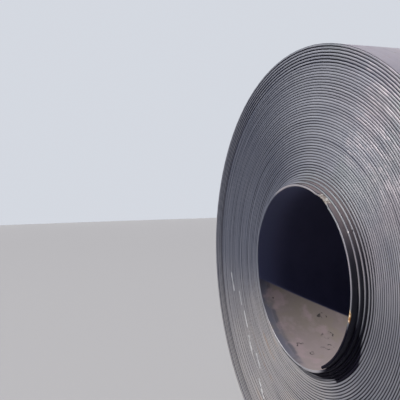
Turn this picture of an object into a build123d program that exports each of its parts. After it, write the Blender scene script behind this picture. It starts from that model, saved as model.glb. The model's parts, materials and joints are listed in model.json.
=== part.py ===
from build123d import *
import math
import os

# A coil of thick hot-rolled steel strip, lying on its tread with its eye level.
# One strip, wound tight, so it is one solid. The eye runs along Y, and the end
# whose inner turns stand out of the winding faces -Y.

# The strip and how it is wound
bore_radius = 381.0  # the eye is 762 mm across, the mandrel size for heavy strip
strip_thickness = 11.8
lap_gap = 0.2  # scale and air between two turns
strip_width = 1500.0
turn_count = 51

# Ends of the strip, at angles seen from the front and counted from +X towards +Z.
# It is wound that way too, and before each end a turn climbs over the one below
head_angle = -67.0  # in the eye
tail_angle = -30.0  # on the tread
climb_angle = 60.0  # arc over which a turn climbs by the thickness of the strip

# How the turns lie side by side at the front
inner_stand_out = [64.0, 34.0, 19.0, 8.0]  # innermost turn first
edge_lean = 2.0  # every other seam lies this far down, and the turns lean to it
loose_turns = 4  # the outermost turns have sprung open a little
loose_lean = 7.0  # so the seams between them are deeper

# At the rear they lie in wide flat bands, so the coil can stand there
rear_band_turns = 16
rear_band_step = 2.0  # every other band lies this far back

turn_pitch = strip_thickness + lap_gap
outer_radius = bore_radius + turn_count * turn_pitch
telescoped_turns = len(inner_stand_out)
coil_length = strip_width + max(inner_stand_out)
front_y = max(inner_stand_out) - coil_length / 2
rear_y = front_y + strip_width


def stand_out(turn):
    """How far a turn stands out at the front, and so lies back at the rear."""
    return inner_stand_out[max(turn, 0)] if turn < telescoped_turns else 0.0


def turn_radius(turn):
    """Inner radius of a turn, counted from 0 at the bore."""
    return bore_radius + turn * turn_pitch


def seam_depth(seam):
    """Depth of a seam at the front, counted from 0 at the bore: every other one stands flush."""
    if seam % 2 == 0:
        return 0.0
    return loose_lean if turn_count - loose_turns <= seam < turn_count else edge_lean


def front_profile():
    """Points (radius, y) over the front end, a leaning face for each turn."""
    points = []
    for turn in range(-1, turn_count + 1):
        turn_y = front_y - stand_out(turn)
        points.append((turn_radius(turn), turn_y + seam_depth(turn)))
        points.append((turn_radius(turn + 1), turn_y + seam_depth(turn + 1)))
    return points


def rear_set_back(turn):
    """How far a turn lies back from the rear."""
    band = (turn - telescoped_turns) // rear_band_turns
    return stand_out(turn) if turn < telescoped_turns else rear_band_step * (band % 2)


def rear_profile():
    """Points (radius, y) over the rear end, with a step wherever a turn lies out of line."""
    points = [(turn_radius(-1), rear_y - rear_set_back(0))]
    for turn in range(1, turn_count):
        if rear_set_back(turn) != rear_set_back(turn - 1):
            points.append((turn_radius(turn), rear_y - rear_set_back(turn - 1)))
            points.append((turn_radius(turn), rear_y - rear_set_back(turn)))
    points.append((turn_radius(turn_count + 1), rear_y - rear_set_back(turn_count - 1)))
    return points


def without_repeats(points):
    """Drop each point that lies on the one before it."""
    return [b for a, b in zip([(0, 0), *points], points) if math.dist(a, b) > 1e-6]


def turned_ring():
    """The winding turned round the eye, one turn too thick on both its inside and outside."""
    outline = without_repeats(front_profile()) + list(reversed(rear_profile()))
    return revolve(make_face(Polyline(*outline, close=True)), axis=Axis.Y)


def wound_outline(radius, end_angle):
    """Circle round the eye that climbs by the strip's thickness up to its end, then steps back."""
    climb_start = end_angle - climb_angle
    start = Vector(radius, 0, 0).rotate(Axis.Z, climb_start)
    onward = Vector(0, 1, 0).rotate(Axis.Z, climb_start)
    step_top = Vector(radius + strip_thickness, 0, 0).rotate(Axis.Z, end_angle)
    step_foot = Vector(radius, 0, 0).rotate(Axis.Z, end_angle)
    round_turn = CenterArc((0, 0), radius, end_angle, 360 - climb_angle)
    return make_face([round_turn, Line(step_foot, step_top), TangentArc(start, step_top, tangent=onward)])


def end_view():
    """The coil seen along its eye, with the head of the strip in the bore and its tail on the tread."""
    return wound_outline(outer_radius, tail_angle) - wound_outline(bore_radius, head_angle)


def wound_strip():
    """The whole coil: what the turned ring has inside the end view."""
    prism = extrude(Plane.XZ * end_view(), amount=coil_length, both=True)
    return Pos(0, 0, outer_radius) * (turned_ring() & prism)


os.makedirs("parts", exist_ok=True)
coil = wound_strip()
export_step(coil, "parts/wound_strip.step")
print("bore", 2 * bore_radius, "outer", 2 * outer_radius, "size", coil.bounding_box().size)
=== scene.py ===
import bisect
import json
import math
import bmesh
import bpy
from mathutils import Matrix, Vector, noise


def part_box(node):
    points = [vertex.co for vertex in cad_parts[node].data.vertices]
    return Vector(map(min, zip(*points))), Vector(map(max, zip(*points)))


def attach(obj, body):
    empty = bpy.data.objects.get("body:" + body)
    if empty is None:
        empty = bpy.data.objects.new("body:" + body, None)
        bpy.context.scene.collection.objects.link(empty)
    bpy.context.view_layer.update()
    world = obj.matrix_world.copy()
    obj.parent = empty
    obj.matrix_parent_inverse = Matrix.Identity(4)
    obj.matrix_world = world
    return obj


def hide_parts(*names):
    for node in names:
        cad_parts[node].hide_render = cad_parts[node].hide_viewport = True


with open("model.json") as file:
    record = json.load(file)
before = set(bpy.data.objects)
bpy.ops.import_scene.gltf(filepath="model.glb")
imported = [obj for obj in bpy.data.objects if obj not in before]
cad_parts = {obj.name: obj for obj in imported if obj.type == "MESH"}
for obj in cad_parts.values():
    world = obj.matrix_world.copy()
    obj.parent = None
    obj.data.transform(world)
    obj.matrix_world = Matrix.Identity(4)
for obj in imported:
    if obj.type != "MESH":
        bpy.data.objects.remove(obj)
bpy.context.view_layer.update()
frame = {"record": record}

# Sizes of the coil, in metres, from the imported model
coil_low, coil_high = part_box("wound_strip")
bore_mount = [m for m in frame["record"]["mounts"] if m["name"] == "bore"][0]
bore_radius = bore_mount["dims"]["r_mm"] / 1000
strip_width = bore_mount["dims"]["length_mm"] / 1000
tread_radius = (coil_high.x - coil_low.x) / 2
axis_height = coil_low.z + tread_radius
rear_y = coil_high.y
flush_y = rear_y - strip_width  # where the edges of most turns lie at the front
furthest_out = flush_y - coil_low.y  # how far the innermost turn stands out
inside_box = 0.0002  # the strip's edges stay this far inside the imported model

# How the strip is wound: counterclockwise outwards, as seen from the front
turn_count = 51
head_angle = -67.0  # degrees from +X towards +Z, as every angle round the eye
tail_angle = -30.0
turns_wound = turn_count + (tail_angle - head_angle) / 360
climb_turns = 1 / 6  # a turn climbs over the one below within a sixth of a circle
strip_thickness = 0.0116
lap_gap = 0.00007  # scale and air under the strip
tight_turns = 44
tight_pitch = 0.0118
tight_shift = 0.007  # the tight turns lie this far off the middle of the tread, towards shift_angle
shift_angle = -10.0
loose_pitch = 0.01175  # of the sprung outer turns where they touch
gap_shares = [0.20, 0.19, 0.18, 0.16, 0.13, 0.08, 0.06]  # of the slack, innermost gap first

# How far the front edge stands out of the flush ones, as (turns wound from the head, metres)
stand_out_table = [
    (0.0, 0.0625), (0.12, 0.0635), (0.3, 0.0635), (0.5, 0.062), (0.6, 0.058), (0.7, 0.051), (0.9, 0.046),
    (1.0, 0.044), (1.17, 0.040), (1.3, 0.039), (1.6, 0.036), (1.9, 0.026), (2.17, 0.023), (2.6, 0.021),
    (3.17, 0.013), (4.17, 0.008), (5.17, 0.005), (7.0, 0.001), (9.0, 0.0)]
# The turns after the innermost one stand out less than that on the right, by dip_depth at dip_angle
dip_angle = -22.0
dip_depth = 0.0062
# They lie unevenly too: all by uneven_out, and by noise from turn to turn and along each turn
uneven_out = 0.0010
uneven_turns = 0.0013
uneven_along = 0.0009

# The innermost turn's front edge is torn between two angles, and less within torn_fade of them
torn_from, torn_to, torn_fade = 48.0, 64.0, 3.0
torn_depth = 0.007  # give or take torn_rough
torn_rough = 0.016
torn_bend = 0.009

# Half of the strip's rounded mill edge: how far in from its face, how deep from its edge
edge_round = [(0.0, 0.0034), (0.0006, 0.0019), (0.0021, 0.0007), (0.0043, 0.0001)]

# Stations along the strip in each turn: close together in the innermost one, up to the end of its climb
fine_stations = 360
coarse_stations = 96

# The head's ragged cut. Rows cross the strip at these distances behind rows_from, to make its teeth
rows_from = coil_low.y + 0.012
head_rows = [0.008, 0.016, 0.024, 0.034, 0.046, 0.06, 0.08, 0.11, 0.15, 0.2, 0.28, 0.4, 0.6, 0.9, 1.2]
rows_reach = 0.035  # how far round the cut they go
cut_reach = 0.004  # what lies this near to the cut moves with its teeth
teeth_from = coil_low.y + 0.008
tooth_length = 0.006  # give or take tooth_rough for a whole tooth and tooth_fine for its own edge
tooth_rough = 0.010
tooth_fine = 0.006
long_teeth_depth = 0.3  # farther in, the teeth are half as long

# Chalk strokes at the lower left, as (x, z) from the middle of the eye
chalk_strokes = [
    ((-0.792, -0.060), (-0.764, -0.150)), ((-0.700, -0.150), (-0.680, -0.215)),
    ((-0.650, -0.245), (-0.622, -0.320)), ((-0.612, -0.365), (-0.574, -0.450)),
    ((-0.530, -0.440), (-0.500, -0.500)), ((-0.515, -0.560), (-0.472, -0.640))]

# Dark curls in the dust on the floor of the eye: angle, depth behind the flush edges, radius
dust_curls = [
    (-118, 0.050, 0.012), (-108, 0.077, 0.008), (-124, 0.210, 0.018),
    (-112, 0.171, 0.016), (-141, 0.245, 0.012)]

# The light, the floor and the wall behind it
sun_direction = Vector((0.074, 0.703, -0.707))
soft_direction = Vector((0.45, -0.83, -0.33))
pale_grey = (0.66, 0.69, 0.75)  # the background as it shows
dim_sky = (0.095, 0.111, 0.168)  # the light that comes from all round
floor_radius = 60.0
wall_radius = 63.0  # a little farther off than the floor's edge
wall_foot = -2.0  # below the floor, so no gap shows between them
wall_height = 42.0
wall_open_before = -8.0  # no wall stands in front of this, where the sun comes from
rim_segments = 96  # of the floor and the wall

# The camera, fitted to the rims of the eye and the tread in the photograph
image_width = 400  # pixels
focal_length = 651.5  # pixels
image_shift = (3.0, -55.3)  # of the picture's middle from the optical axis, in pixels, right and up
camera_place = (2.464, -1.535, 0.315)  # from the axis of the eye, at the flush edges
camera_turn, camera_tilt, camera_roll = 67.39, -5.26, -1.81  # degrees left, down, and right side up
sensor_width = 36.0  # millimetres, as the lens is


def table_value(table, x):
    """Value at x on a smooth run through a table of (x, value) pairs."""
    xs = [pair[0] for pair in table]
    i = min(max(bisect.bisect_right(xs, x), 1), len(xs) - 1)
    t = min(max((x - xs[i - 1]) / (xs[i] - xs[i - 1]), 0.0), 1.0)
    t = t * t * (3 - 2 * t)
    return table[i - 1][1] * (1 - t) + table[i][1] * t


def ramp(x):
    """0 to 1 over one climb, centred on x = 0."""
    t = min(max(x / climb_turns + 0.5, 0.0), 1.0)
    return t * t * (3 - 2 * t)


def level(wound):
    """How many turns the strip has climbed after so many turns of winding."""
    whole = math.floor(wound)
    climbed = max(whole - 1, 0)
    # turn by turn the climb ends a little farther on, from the head's angle round to the tail's
    for turn in (whole - 1, whole, whole + 1):
        if 0 <= turn < turn_count:
            climb_end = turn + 1 + turn / (turn_count - 1) * (turns_wound - turn_count)
            climbed += ramp(wound - climb_end + climb_turns / 2)
    return climbed


def ring_point(angle, radius, y=0.0):
    """The point at an angle in radians and a radius round the axis of the eye."""
    return Vector((radius * math.cos(angle), y, axis_height + radius * math.sin(angle)))


def inner_face(climbed, angle):
    """Radius of the strip's inner face, at an angle in radians."""
    shift = tight_shift * min(climbed / tight_turns, 1.0) * math.cos(angle - math.radians(shift_angle))
    if climbed <= tight_turns:
        return bore_radius + climbed * tight_pitch + shift
    loose = climbed - tight_turns
    whole = min(int(loose), len(gap_shares) - 1)
    tight_radius = bore_radius + tight_turns * tight_pitch + shift
    slack = tread_radius - tight_radius - len(gap_shares) * loose_pitch
    opened = sum(gap_shares[:whole]) + (loose - whole) * gap_shares[whole]
    return tight_radius + loose * loose_pitch + slack * opened


def stand_out(wound):
    """How far the strip's front edge lies in front of the flush edges."""
    out = table_value(stand_out_table, wound)
    angle = 2 * math.pi * wound
    beyond_innermost = min(max((wound - 0.75) / 0.2, 0.0), 1.0)
    to_dip = angle + math.radians(head_angle - dip_angle)
    out -= beyond_innermost * dip_depth * max(math.cos(to_dip), 0.0) ** 4
    sway = noise.noise(Vector((2.1 * math.cos(angle), 2.1 * math.sin(angle), 3.7 * wound)))
    steady = noise.noise(Vector((0.6 * math.cos(angle), 0.6 * math.sin(angle), 9.3 * round(level(wound)))))
    out += min(wound / 1.5, 1.0) * (uneven_out + uneven_along * sway + uneven_turns * steady)
    return min(max(out, inside_box / 2), furthest_out - 2 * inside_box)


def torn(wound):
    """How far the innermost turn's front edge is torn back, and how far it is bent."""
    angle = head_angle + 360 * wound
    if not torn_from < angle < torn_to or wound > 1:
        return 0.0, 0.0
    fade = min((angle - torn_from) / torn_fade, (torn_to - angle) / torn_fade, 1.0)
    rough = noise.noise(Vector((angle * 0.61, 3.0, 0.0)))
    bend = noise.noise(Vector((angle * 0.43, 8.0, 2.0)))
    return fade * (torn_depth + torn_rough * rough), fade * torn_bend * bend


def strip_section():
    """The strip's outline: (distance from its inner face, depth from an edge, whether the rear one)."""
    outer_half = [(strip_thickness - across, depth) for across, depth in reversed(edge_round)]
    edge = edge_round + outer_half
    return [(*point, False) for point in edge] + [(*point, True) for point in reversed(edge)]


def strip_place(wound, section_point):
    """Where a point of the section lies after so many turns of winding."""
    across, depth, at_rear = section_point
    angle = math.radians(head_angle) + 2 * math.pi * wound
    radius = inner_face(level(wound), angle) + lap_gap + across
    edge_y = flush_y - stand_out(wound)
    if at_rear:
        return ring_point(angle, radius, min(edge_y + strip_width - depth, rear_y - inside_box))
    back, bend = torn(wound)
    return ring_point(angle, radius + bend, max(edge_y + depth + back, coil_low.y + inside_box))


def stations():
    """Places along the strip, in turns of winding."""
    fine_turns = 1 + climb_turns
    fine = [i / fine_stations for i in range(round(fine_turns * fine_stations))]
    coarse = range(round(fine_turns * coarse_stations), int(turns_wound * coarse_stations) + 1)
    return fine + [i / coarse_stations for i in coarse] + [turns_wound]


def ragged_head(bm):
    """Rows across the strip near its head, so that its cut end can be torn into teeth."""
    angle = math.radians(head_angle)
    cut_end = ring_point(angle, bore_radius + strip_thickness / 2)
    onward = Vector((-math.sin(angle), 0, math.cos(angle)))
    for row in head_rows:
        near = [face for face in bm.faces if (face.calc_center_median() - cut_end).xz.length < rows_reach]
        edges = dict.fromkeys(edge for face in near for edge in face.edges)
        verts = dict.fromkeys(vert for face in near for vert in face.verts)
        bmesh.ops.bisect_plane(
            bm, geom=[*near, *edges, *verts], plane_co=(0, rows_from + row, 0), plane_no=(0, 1, 0))
    for vert in bm.verts:
        offset = (vert.co - cut_end).xz
        if abs(offset.dot(onward.xz)) > cut_reach or offset.length > 3 * cut_reach:
            continue
        depth = vert.co.y - teeth_from
        tooth = tooth_length + tooth_rough * noise.noise(Vector((depth * 55, 0.7, 0)))
        tooth += tooth_fine * noise.noise(Vector((depth * 190, 4.1, 0)))
        vert.co += onward * tooth * (1.0 if depth < long_teeth_depth else 0.5)


def scene_object(name, bm, materials):
    """Turn a bmesh into an object of the scene."""
    mesh = bpy.data.meshes.new(name)
    bm.to_mesh(mesh)
    bm.free()
    for material in materials:
        mesh.materials.append(material)
    made = bpy.data.objects.new(name, mesh)
    bpy.context.scene.collection.objects.link(made)
    return made


def wound_strip(face_material, edge_material):
    """The whole strip: a long grid laid round the section and wound up."""
    along = stations()
    section = strip_section()
    columns, rows = len(along) - 1, len(section)
    bm = bmesh.new()
    uv = bm.loops.layers.uv.new("winding")
    bmesh.ops.create_grid(bm, x_segments=columns, y_segments=rows, size=1.0, calc_uvs=False)
    cells = {}
    for vert in bm.verts:
        cells[vert] = (round((vert.co.x + 1) / 2 * columns), round((vert.co.y + 1) / 2 * rows))
    for face in bm.faces:
        row = min(cells[vert][1] for vert in face.verts)
        # the last row of either half is a broad face of the strip, and the others its rounded edge
        face.material_index = 0 if row in (rows // 2 - 1, rows - 1) else 1
        face.smooth = True
        for loop in face.loops:
            i, j = cells[loop.vert]
            loop[uv].uv = (along[i], section[j % rows][0] / strip_thickness)
    for vert, (i, j) in cells.items():
        vert.co = strip_place(along[i], section[j % rows])
    seam = [vert for vert, (i, j) in cells.items() if j in (0, rows)]
    bmesh.ops.remove_doubles(bm, verts=seam, dist=1e-6)
    ends = [edge for edge in bm.edges if edge.is_boundary]
    for cap in bmesh.ops.holes_fill(bm, edges=ends, sides=0)["faces"]:
        cap.material_index = 1
        cap.smooth = True
    ragged_head(bm)
    for edge in bm.edges:
        edge.smooth = len({face.material_index for face in edge.link_faces}) == 1
    bmesh.ops.recalc_face_normals(bm, faces=bm.faces)
    piece = scene_object("coiled_strip", bm, [face_material, edge_material])
    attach(piece, "root")
    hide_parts("wound_strip")


class Shade:
    """A socket of a node tree, with the operators that shader maths needs."""

    def __init__(self, nodes, socket):
        self.nodes = nodes
        self.socket = socket

    def math(self, operation, *values):
        return self.nodes.add("ShaderNodeMath", {"operation": operation}, values)

    def __add__(self, other):
        return self.math("ADD", self, other)

    __radd__ = __add__

    def __mul__(self, other):
        return self.math("MULTIPLY", self, other)

    __rmul__ = __mul__

    def __sub__(self, other):
        return self.math("SUBTRACT", self, other)

    def __rsub__(self, other):
        return self.math("SUBTRACT", other, self)

    def __truediv__(self, other):
        return self.math("DIVIDE", self, other)

    def __neg__(self):
        return 0 - self

    def size(self):
        return self.math("ABSOLUTE", self)

    def root(self):
        return self.math("SQRT", self)

    def at_most(self, other):
        return self.math("MINIMUM", self, other)

    def at_least(self, other):
        return self.math("MAXIMUM", self, other)

    def step(self, low, high):
        """0 below low and 1 above high, smooth between."""
        limits = {"Value": self, "From Min": low, "From Max": high}
        return self.nodes.add("ShaderNodeMapRange", {"interpolation_type": "SMOOTHSTEP"}, limits)


class Nodes:
    """The node tree of a material or of the world."""

    def __init__(self, owner):
        owner.use_nodes = True
        self.owner = owner
        self.tree = owner.node_tree
        self.tree.nodes.clear()

    def add(self, kind, settings, values, output=0):
        """Add a node, set its settings, then fill or link its inputs. Returns one of its outputs."""
        node = self.tree.nodes.new(kind)
        for key, value in settings.items():
            setattr(node, key, value)
        pairs = values.items() if isinstance(values, dict) else enumerate(values)
        for key, value in pairs:
            if isinstance(value, Shade):
                self.tree.links.new(value.socket, node.inputs[key])
            else:
                node.inputs[key].default_value = value
        return Shade(self, node.outputs[output]) if node.outputs else None

    def mix(self, factor, first, second, blend="MIX"):
        """Mix two colours by a factor."""
        first, second = [(*c, 1.0) if isinstance(c, tuple) else c for c in (first, second)]
        settings = {"data_type": "RGBA", "blend_type": blend}
        # inputs 6 and 7 and output 2 are the node's colours
        return self.add("ShaderNodeMix", settings, {"Factor": factor, 6: first, 7: second}, output=2)

    def layers(self, colour, *layers):
        """Lay colours over the first one in turn, each as (mask, colour)."""
        for mask, layer in layers:
            colour = self.mix(mask, colour, layer)
        return colour

    def finish(self, shader_kind, sockets, output_kind="ShaderNodeOutputMaterial"):
        """Add the shader and link it to the output. Returns the material, or the world."""
        shader = self.add(shader_kind, {}, sockets)
        self.add(output_kind, {}, {"Surface": shader})
        return self.owner


class CoilFinish(Nodes):
    """A material of the coil, with the coordinates and masks that its finishes share."""

    def __init__(self, name):
        super().__init__(bpy.data.materials.new(name))
        self.place = self.add("ShaderNodeTexCoord", {}, {}, output="Object")
        self.x, self.y, height = [self.part(self.place, axis) for axis in "XYZ"]
        self.z = height - axis_height
        self.radius = (self.x * self.x + self.z * self.z).root()
        self.winding = self.add("ShaderNodeUVMap", {"uv_map": "winding"}, {})
        self.turn, self.across = [self.part(self.winding, axis) for axis in "XY"]
        self.front_end = 1 - self.y.step(0.0, 0.1)  # 1 there and 0 at the rear

    def part(self, vector, axis):
        return self.add("ShaderNodeSeparateXYZ", {}, {0: vector}, output=axis)

    def scaled(self, vector, scale):
        return self.add("ShaderNodeVectorMath", {"operation": "MULTIPLY"}, {0: vector, 1: scale})

    def noise(self, scale, detail=3.0, roughness=0.55, over=None):
        """Noise over the place on the coil, or over another vector."""
        values = {"Vector": over or self.place, "Scale": scale, "Detail": detail, "Roughness": roughness}
        return self.add("ShaderNodeTexNoise", {}, values)

    def noise_along(self, per_turn, per_thickness=0.0, detail=3.0, roughness=0.55):
        """Noise along the winding, with so many waves to a turn and to a thickness."""
        waves = self.scaled(self.winding, (per_turn, per_thickness, 0.0))
        return self.noise(1.0, detail, roughness, waves)

    def facing(self, degrees):
        """Cosine of the angle round the coil between here and a direction."""
        x, z = math.cos(math.radians(degrees)), math.sin(math.radians(degrees))
        return (self.x * x + self.z * z) / self.radius

    def towards(self, degrees, low, high):
        """Mask of the sector that faces an angle, from its cosine low to high."""
        return self.facing(degrees).step(low, high)

    def distance(self, degrees, radius, depth, stretch=(1, 1, 1)):
        """Distance from a point at an angle, a radius and a depth behind the flush edges."""
        centre = ring_point(math.radians(degrees), radius, flush_y + depth)
        offset = self.add("ShaderNodeVectorMath", {"operation": "SUBTRACT"}, {0: self.place, 1: centre})
        offset = self.scaled(offset, stretch)
        return self.add("ShaderNodeVectorMath", {"operation": "LENGTH"}, {0: offset}, output=1)

    def spot(self, degrees, radius, depth, inner, outer, stretch=(1, 1, 1)):
        """Mask of a round spot."""
        return 1 - self.distance(degrees, radius, depth, stretch).step(inner, outer)

    def bump(self, strength, distance, height):
        values = {"Strength": strength, "Distance": distance, "Height": height}
        return self.add("ShaderNodeBump", {}, values)


def chalk_marks(here, waver):
    """Mask of a few plain chalk strokes at the lower left of the front end."""
    x, z = here.x + 0.012 * waver, here.z - 0.010 * waver
    marks = 0
    for start, end in chalk_strokes:
        run = Vector(end) - Vector(start)
        share = (x - start[0]) * (run.x / run.length_squared) + (z - start[1]) * (run.y / run.length_squared)
        share = share.at_least(0.0).at_most(1.0)
        off_x, off_z = x - start[0] - share * run.x, z - start[1] - share * run.y
        marks = marks + (1 - (off_x * off_x + off_z * off_z).root().step(0.0022, 0.006))
    return marks * here.front_end


def torn_metal(here, colour):
    """Bare bright metal with painted glints, and crack lines with painted shade, where the innermost turn is
    torn. Returns the mask and the colour.
    """
    torn_place = here.spot(55.5, bore_radius + 0.012, -0.050, 0.026, 0.038) * (1 - here.turn.step(1.2, 1.3))
    bare_bits_and_glints = here.noise(85.0, 2.0).step(0.53, 0.60)
    crack_shadows = 1 - (here.noise(60.0, 1.0) - 0.5).size().step(0.010, 0.030)
    return torn_place, here.layers(
        colour,
        (torn_place * 0.8, (0.30, 0.26, 0.23)),
        # bare metal with painted glints
        (torn_place * bare_bits_and_glints, (0.85, 0.83, 0.80)),
        # painted shade in the crack lines
        (torn_place * crack_shadows * 0.9, (0.035, 0.030, 0.035)))


def edge_crown(here, along, first_turn, sprung):
    """1 on the crown of each rounded edge and 0 in the seams. The eye's rim has no seam inside it."""
    from_seam = 0.5 - (here.across - 0.5).size()
    wide_seam = here.noise(3.0, 1.0, over=here.scaled(here.winding, (1.37, 0.0, 0.0))).step(0.50, 0.62)
    crown = (from_seam + 0.05 * along - 0.03 * sprung - 0.06 * wide_seam).step(0.06, 0.30)
    return crown.at_least(first_turn * (1 - here.across.step(0.55, 0.85)))


def painted_shadow_round_head(here, first_turn):
    """Mask of the painted shadow that the head casts on the turns it shelters and in a crescent on its left;
    the head's own edge and a lip of the innermost turn at the bottom are darkened with it.
    """
    furthest = 0.4515  # radius of the last sheltered turn
    beyond_head = here.towards(-40, 0.886, 0.888)
    reach = (0.383 + 0.160 * here.facing(-110)).at_most(furthest)
    sheltered = beyond_head * (1 - (here.radius - reach).step(0.0, 0.003 + 0.30 * (furthest - reach)))
    left_of_head = (1 - beyond_head) * here.towards(-75, 0.70, 0.74)
    crescent_rim = 0.433 - 0.065 * here.facing(-160)
    crescent = left_of_head * (1 - (here.radius - crescent_rim).step(0.0, 0.003))
    head = 1 - here.turn.step(0.105, 0.130)
    lip = here.towards(-106, 0.965, 0.985) * here.across.step(0.35, 0.6) * first_turn
    shadow_round_head = sheltered.at_least(crescent) * here.turn.step(0.97, 1.0)
    return shadow_round_head.at_least(head).at_least(lip) * here.front_end


def burr_and_nick(here, colour):
    """A rusty burr with a painted sun glint, and a bright nick with a painted shadow beside it, on the right
    rim of the eye. Returns the burr's mask and the colour.
    """
    burr = here.spot(-17.5, bore_radius + 0.002, -0.062, 0.008, 0.013, (1.0, 1.0, 0.32))
    # rust with a painted orange glint of the sun on the burr
    rust_and_glint = here.mix(here.noise(70.0, 1.0).step(0.40, 0.60), (0.40, 0.16, 0.04), (0.95, 0.78, 0.50))
    # painted shadow beside the nick
    nick_shade = here.spot(28.7, bore_radius + 0.029, -0.028, 0.005, 0.009)
    nick = here.spot(28.6, bore_radius + 0.020, -0.042, 0.004, 0.007)
    return burr, here.layers(
        colour,
        (burr, rust_and_glint),
        (nick_shade, (0.03, 0.03, 0.04)),
        (nick, (0.62, 0.60, 0.62)))


def mill_edge_material():
    """Edges of the turns: bare blue-grey mill edge with painted light and shade round the coil, dark in the
    seams with grime and painted shade, and dust at the lower left with painted sheen.
    """
    here = CoilFinish("mill_edge")
    along = here.noise_along(26.0, 3.0, 4.0, 0.6)
    turn_tone = here.noise_along(2.3, detail=2.0)
    blotches = here.noise(7.0, 5.0, 0.6)
    grain = here.noise(210.0, 2.0)
    first_turn = 1 - here.turn.step(0.98, 1.0)
    sprung = here.turn.step(44.5, 46.0)
    crown = edge_crown(here, along, first_turn, sprung)
    # painted light and shade round the coil, where the sun's sheen on the rounded edges falls: lighter at the
    # top, darker at the lower right and upper left
    shaded_lower_right = here.towards(-38, 0.75, 1.0)
    top = here.towards(78, 0.72, 0.98)
    shaded_upper_left = here.towards(150, 0.35, 0.95)
    left = here.towards(180, 0.30, 0.80)
    open_gap = here.turn.step(44.4, 44.9) * (1 - here.turn.step(45.8, 46.3)) * left
    outermost = here.turn.step(49.9, 50.2) * left
    # dust at the lower left, lighter with a painted sheen of the sun on the edges there
    dust_and_sheen = here.towards(236, 0.45, 1.0) * (0.35 + 0.65 * blotches)
    # a lighter mauve tint in patches at the upper right, which paints the warm sunlight there
    mauve = here.towards(35, 0.7, 1.0) * here.noise(2.6, 2.0).step(0.4, 0.62)
    green = here.towards(62, 0.80, 1.0) * here.noise(3.1, 2.0).step(0.45, 0.60)
    # scratch lines at the upper right, with painted highlights of the sun on them
    scratches_and_glints = (here.towards(42, 0.7, 1.0) * here.noise_along(31.0, roughness=0.7)).step(0.45, 0.61)
    far_out = 0.25 + 0.75 * here.radius.step(0.52, 0.70)
    rust = here.spot(-128, 0.60, 0, 0.10, 0.30, (1.0, 1.0, 0.6))
    rust = rust * here.noise_along(7.0, detail=5.0, roughness=0.7).step(0.52, 0.66)
    # painted light on the eye's rim, at the top and the bottom
    rim_painted_light = (here.towards(82, 0.80, 0.93) + 0.2 * here.towards(-80, 0.92, 0.98)) * first_turn
    dark_rim = here.towards(215, 0.30, 0.70) * first_turn
    # painted shadow of the head on the turns round it, near black
    shadow_round_head = painted_shadow_round_head(here, first_turn)
    steel = here.layers(
        (0.310, 0.316, 0.370),
        (blotches.step(0.35, 0.65), (0.375, 0.376, 0.415)),
        (along.step(0.42, 0.72), (0.475, 0.468, 0.500)),
        # painted shade at the lower right
        (shaded_lower_right * 0.6, (0.180, 0.186, 0.220)),
        # painted light at the top
        (top * 0.5, (0.520, 0.545, 0.620)),
        (turn_tone.step(0.35, 0.7) * 0.5, (0.190, 0.195, 0.235)),
        # painted shade at the upper left
        (shaded_upper_left * (0.75 - 0.25 * sprung), (0.122, 0.140, 0.198)),
        (open_gap * 0.6, (0.060, 0.062, 0.090)),
        (outermost * 0.6, (0.360, 0.365, 0.420)),
        # dust with painted sheen at the lower left
        (dust_and_sheen * 0.8, (0.400, 0.372, 0.350)),
        # painted warm sunlight, mauve, at the upper right
        (mauve * 0.5, (0.450, 0.390, 0.430)),
        (green * 0.45, (0.300, 0.345, 0.345)),
        # scratch lines with painted highlights of the sun
        (scratches_and_glints * far_out * 0.75, (0.660, 0.610, 0.650)),
        (rust * 0.55, (0.400, 0.240, 0.150)),
        # painted light on the eye's rim
        (rim_painted_light * 0.7, (0.560, 0.515, 0.540)),
        (dark_rim * 0.6, (0.190, 0.200, 0.235)),
        # painted shadow round the head, near black
        (shadow_round_head * 0.97, (0.009, 0.007, 0.019)))
    # the seams are dark with grime and painted shade, and lighter towards the right
    seam = here.mix(here.towards(8, 0.80, 1.0) * 0.35, (0.014, 0.015, 0.028), (0.150, 0.150, 0.170))
    colour = here.mix(crown, seam, steel)
    torn_bits, colour = torn_metal(here, colour)
    burr, colour = burr_and_nick(here, colour)
    chalk = (chalk_marks(here, along - 0.5) * (0.30 + 0.9 * grain)).at_most(1.0)
    colour = here.mix(chalk * 0.85, colour, (0.62, 0.64, 0.68))
    matt = dust_and_sheen * 0.25 + rust * 0.3 + torn_bits * 0.3 + burr * 0.4 + chalk * 0.5
    return here.finish("ShaderNodeBsdfPrincipled", {
        "Base Color": colour,
        "Metallic": 0.52 + 0.45 * shadow_round_head - matt.at_most(0.52),
        "Roughness": 0.40 + 0.12 * blotches + 0.15 * (1 - crown) + 0.25 * shadow_round_head,
        "Normal": here.bump(0.35, 0.0008, along + 0.4 * grain)})


def curl_marks(here):
    """Mask of the broken curls in the dust, and of one dark spot."""
    broken = here.noise(36.0, 3.0).step(0.46, 0.60)
    waver = 0.030 * (here.noise(42.0, 1.0) - 0.5)
    curls = 0
    for degrees, depth, size in dust_curls:
        ring = (here.distance(degrees, bore_radius, depth, (1.0, 0.65, 1.0)) + waver - size).size()
        curls = curls + (1 - ring.step(0.0020, 0.0055))
    return (curls * broken + here.spot(-158, bore_radius, 0.010, 0.002, 0.006)).at_most(0.85)


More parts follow.
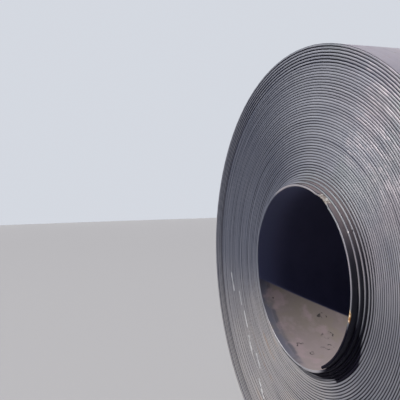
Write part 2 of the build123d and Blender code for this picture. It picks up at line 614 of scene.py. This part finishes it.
def eye_floor_dust(here, clouds, small_clouds):
    """Brown and mauve dust, with a bluish band along the left of the rim that has a ragged dark border."""
    rim_band = 1 - (here.y.step(flush_y - 0.030, flush_y + 0.022) + here.x.step(-0.17, 0.02)).at_most(1.0)
    ragged = (4 * rim_band * (1 - rim_band) * small_clouds).step(0.30, 0.55)
    return here.layers(
        (0.220, 0.184, 0.192),
        (clouds.step(0.36, 0.64), (0.212, 0.184, 0.168)),
        (small_clouds.step(0.45, 0.75), (0.265, 0.224, 0.234)),
        ((-here.z).step(0.25, 0.38) * 0.5, (0.295, 0.252, 0.262)),
        (rim_band * 0.85, (0.105, 0.114, 0.165)),
        (ragged * 0.6, (0.072, 0.076, 0.102)),
        (here.noise(8.0, 4.0).step(0.52, 0.66) * 0.45, (0.225, 0.200, 0.158)),
        (here.noise(9.5, 5.0).step(0.54, 0.66) * 0.7, (0.310, 0.245, 0.268)),
        (curl_marks(here), (0.022, 0.020, 0.022)))


def tread_steel(here, clouds, small_clouds, grain):
    """Paler scale of the tread, with bands round it, streaks and rust, and painted shade down its sides, so
    that only its sunlit top stays pale.
    """
    bands = here.noise(1.0, 5.0, 0.7, here.scaled(here.place, (0.0, 7.0, 0.0)))
    lengthwise = here.add("ShaderNodeCombineXYZ", {}, {0: here.turn * 8.0, 1: here.y * 22.0})
    streaks = here.noise(1.0, 6.0, 0.7, lengthwise)
    tread = here.layers(
        (0.405, 0.378, 0.442),
        (bands.step(0.35, 0.65), (0.505, 0.470, 0.530)),
        (clouds.step(0.45, 0.75) * 0.6, (0.530, 0.490, 0.530)),
        (streaks.step(0.50, 0.72) * 0.55, (0.330, 0.335, 0.400)),
        ((small_clouds * streaks).step(0.30, 0.42) * 0.45, (0.260, 0.270, 0.325)),
        ((small_clouds * grain).step(0.34, 0.42) * 0.6, (0.360, 0.230, 0.160)))
    # painted shade down the tread's sides
    shaded_sides = 1 - here.towards(85, 0.30, 0.90)
    return here.mix(shaded_sides, tread, (0.40, 0.45, 0.54), "MULTIPLY")


def mill_scale_material():
    """Broad faces of the strip: dark blue-grey scale, dust on the floor of the eye only where the sun lands
    there, paler on the tread, and painted light and shade on the turns that stand out and down the tread's
    sides.
    """
    here = CoilFinish("mill_scale")
    clouds = here.noise(3.4, 5.0, 0.6)
    small_clouds = here.noise(14.0, 5.0, 0.65)
    grain = here.noise(95.0, 3.0, 0.6)
    near_front = 1 - here.y.step(flush_y - 0.06, flush_y + 0.14)
    in_eye = (1 - here.turn.step(1.0, 1.004)) * (1 - here.across.step(0.4, 0.6))
    # the sun comes in over the top of the rim and lands across the eye; the dust is painted only there, so
    # that its pale colour also paints that pool of sunlight
    sun_x, sun_y, sun_z = sun_direction
    across_eye = 2 * sun_y / (sun_x ** 2 + sun_z ** 2)
    sunlit = across_eye * sun_x * here.x + across_eye * sun_z * here.z - here.y
    lit_floor = (-here.z).step(0.0, 0.07) * sunlit.step(0.052 - flush_y, 0.070 - flush_y)
    outside = here.radius.step(tread_radius - 0.030, tread_radius - 0.020)
    rims = (1 - in_eye) * (1 - outside) * (1 - here.turn.step(7.0, 9.0))
    # painted light and shade on the turns that stand out: mauve-grey on their upper side where the sun falls,
    # dark navy in shade lower down
    rim_lit_and_shaded = here.mix(here.towards(75, 0.4, 0.95), (0.020, 0.020, 0.034), (0.200, 0.165, 0.175))
    colour = here.layers(
        (0.038, 0.042, 0.100),
        (clouds.step(0.35, 0.65), (0.052, 0.056, 0.125)),
        (near_front, (0.150, 0.170, 0.310)),
        (in_eye * lit_floor, eye_floor_dust(here, clouds, small_clouds)),
        (outside, tread_steel(here, clouds, small_clouds, grain)),
        (rims, rim_lit_and_shaded))
    return here.finish("ShaderNodeBsdfPrincipled", {
        "Base Color": torn_metal(here, colour)[1],
        "Metallic": 0.28 - 0.26 * in_eye - 0.12 * outside - 0.2 * rims,
        "Roughness": 0.50 + 0.3 * in_eye + 0.1 * clouds,
        "Normal": here.bump(0.3, 0.001, grain + small_clouds)})


def shown_rays(nodes):
    """1 for the rays that show the background: straight, mirrored or through glass."""
    shown = 0
    for ray in ("Is Camera Ray", "Is Glossy Ray", "Is Transmission Ray"):
        shown = nodes.add("ShaderNodeLightPath", {}, {}, output=ray).at_least(shown)
    return shown


def floor():
    """A plain pale floor that keeps the coil's shadow."""
    nodes = Nodes(bpy.data.materials.new("pale_floor"))
    colour = nodes.mix(shown_rays(nodes), (0.09, 0.09, 0.095), (0.46, 0.46, 0.47))
    material = nodes.finish("ShaderNodeBsdfPrincipled", {"Base Color": colour, "Roughness": 0.9})
    bm = bmesh.new()
    bmesh.ops.create_circle(bm, cap_ends=True, segments=rim_segments, radius=floor_radius)
    scene_object("floor", bm, [material])


def backdrop():
    """A pale wall far round the coil, which gives it no more light than the sky does."""
    nodes = Nodes(bpy.data.materials.new("pale_backdrop"))
    colour = nodes.mix(shown_rays(nodes), dim_sky, pale_grey)
    material = nodes.finish("ShaderNodeEmission", {"Color": colour, "Strength": 1.0})
    bm = bmesh.new()
    foot = Matrix.Translation((0, 0, wall_foot))
    bmesh.ops.create_circle(bm, segments=rim_segments, radius=wall_radius, matrix=foot)
    wall = bmesh.ops.extrude_edge_only(bm, edges=bm.edges)["geom"]
    top = [part for part in wall if isinstance(part, bmesh.types.BMVert)]
    bmesh.ops.translate(bm, verts=top, vec=(0, 0, wall_height))
    open_part = [vert for vert in bm.verts if vert.co.y < wall_open_before]
    bmesh.ops.delete(bm, geom=open_part, context="VERTS")
    scene_object("backdrop", bm, [material])


def sun_lamp(name, direction, strength, spread, colour):
    """A lamp whose light comes along a direction, spread over an angle in degrees."""
    lamp = bpy.data.lights.new(name, "SUN")
    lamp.energy = strength
    lamp.angle = math.radians(spread)
    lamp.color = colour
    light = bpy.data.objects.new(name, lamp)
    light.rotation_euler = direction.to_track_quat("-Z", "Y").to_euler()
    bpy.context.scene.collection.objects.link(light)


def lights():
    """One sun high in front, a weak soft light from behind on the left, and a dim even sky."""
    sun_lamp("sun", sun_direction, strength=4.3, spread=1.2, colour=(1.0, 0.965, 0.92))
    sun_lamp("soft_light", soft_direction, strength=1.2, spread=40, colour=(1.0, 1.0, 1.0))
    world = bpy.data.worlds.new("sky")
    bpy.context.scene.world = world
    rust_and_glint = {"Color": (*dim_sky, 1.0), "Strength": 1.0}
    Nodes(world).finish("ShaderNodeBackground", rust_and_glint, "ShaderNodeOutputWorld")


def camera():
    """The photograph's viewpoint: right of the eye, a little above it."""
    data = bpy.data.cameras.new("camera")
    data.sensor_width = sensor_width
    data.lens = focal_length / image_width * sensor_width
    data.shift_x, data.shift_y = [shift / image_width for shift in image_shift]
    data.clip_start = 0.05
    data.clip_end = 200.0
    turn, tilt, roll = [math.radians(angle) for angle in (camera_turn, camera_tilt, camera_roll)]
    forward = Vector((-math.sin(turn) * math.cos(tilt), math.cos(turn) * math.cos(tilt), -math.sin(tilt)))
    level_right = forward.cross(Vector((0, 0, 1))).normalized()
    level_up = level_right.cross(forward)
    right = level_right * math.cos(roll) + level_up * math.sin(roll)
    up = level_up * math.cos(roll) - level_right * math.sin(roll)
    turned = Matrix((right, up, -forward)).transposed().to_4x4()
    x, y, z = camera_place
    viewer = bpy.data.objects.new("camera", data)
    viewer.matrix_world = Matrix.Translation((x, flush_y + y, axis_height + z)) @ turned
    bpy.context.scene.collection.objects.link(viewer)
    bpy.context.scene.camera = viewer


camera()
lights()
floor()
backdrop()
wound_strip(mill_scale_material(), mill_edge_material())
bpy.context.scene.view_settings.view_transform = "Standard"
